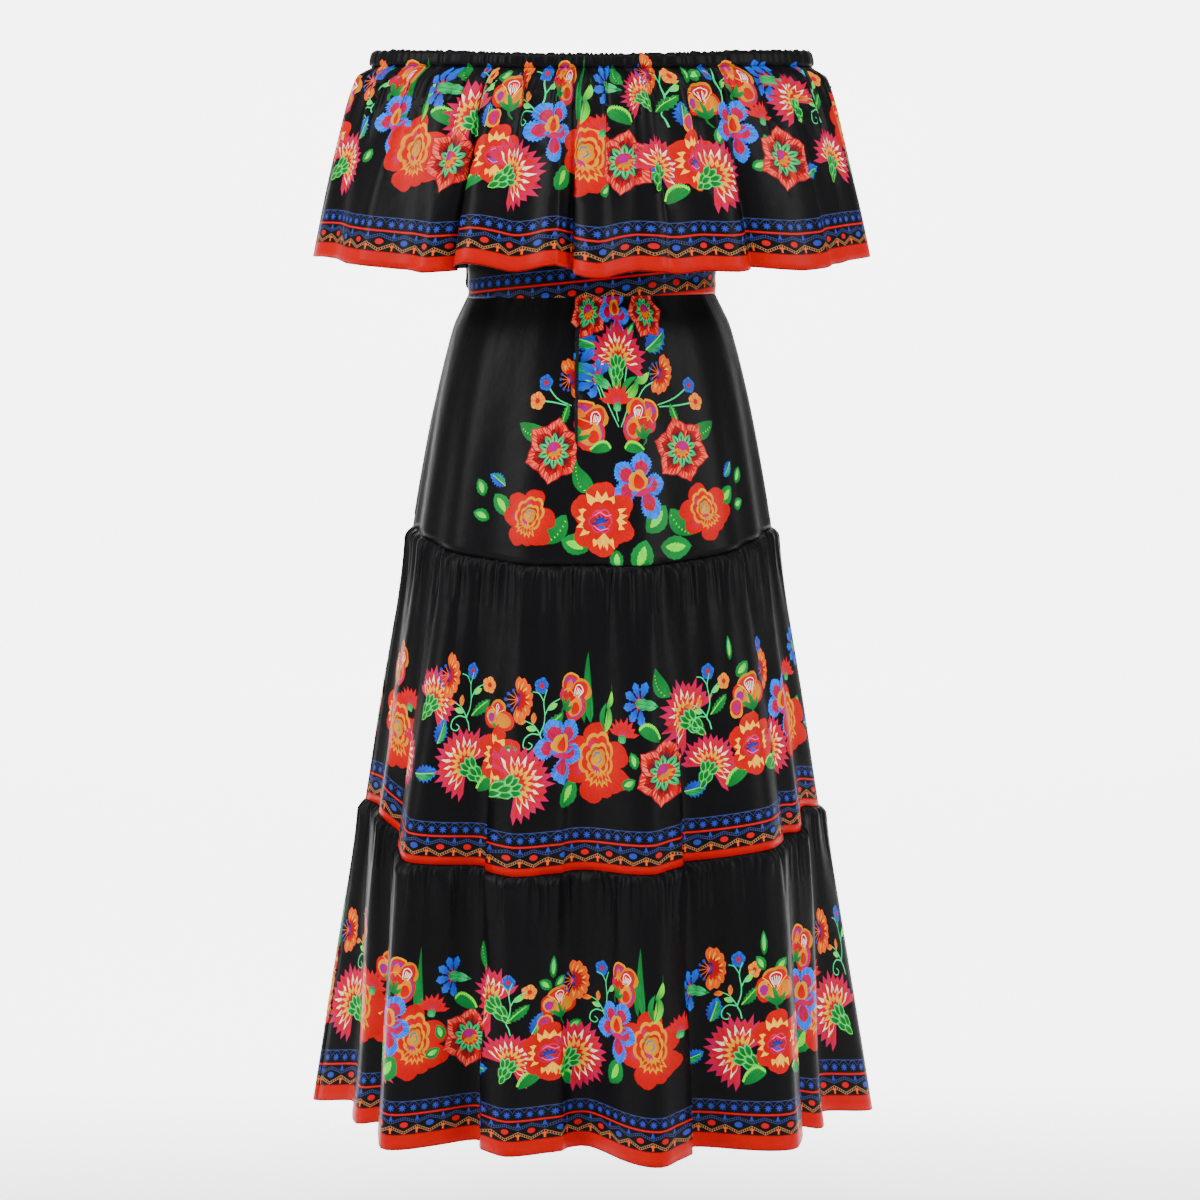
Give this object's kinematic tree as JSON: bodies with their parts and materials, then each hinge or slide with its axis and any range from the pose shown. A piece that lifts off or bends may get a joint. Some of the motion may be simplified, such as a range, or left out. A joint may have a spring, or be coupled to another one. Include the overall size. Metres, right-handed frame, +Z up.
{
  "type": "mexican off-shoulder maxi dress",
  "caption": "Long off-shoulder dress, hollow as worn: gathered neckline casing, wide flounce, sashed waist, and a tiered gathered skirt in black flower-border cloth.",
  "frame": {"origin": "middle of the neckline ring, at half the height of the casing at the sides, where the wearer's arms and shoulders hold the dress up", "axes": "+Z up, -Y towards the front of the dress, +X towards the wearer's left"},
  "size_m": [0.6216, 0.447, 1.173],
  "materials": {
    "printed_cloth": "soft satin-faced black cloth printed with flowers and red-edged borders",
    "plain_cloth": "the same black cloth, unprinted",
    "sash_cloth": "border-printed black cloth, pressed double"
  },
  "bodies": {
    "root": {"neck_casing_front": "printed_cloth", "neck_casing_back": "printed_cloth", "flounce_front": "printed_cloth", "flounce_back": "printed_cloth", "bodice_front": "plain_cloth", "bodice_back": "plain_cloth", "yoke_front": "printed_cloth", "yoke_back": "printed_cloth", "middle_tier_front": "printed_cloth", "middle_tier_back": "printed_cloth", "bottom_tier_front": "printed_cloth", "bottom_tier_back": "printed_cloth", "sash": "sash_cloth", "sash_knot": "sash_cloth", "sash_end_front": "sash_cloth", "sash_end_back": "sash_cloth"}
  },
  "joints": []
}
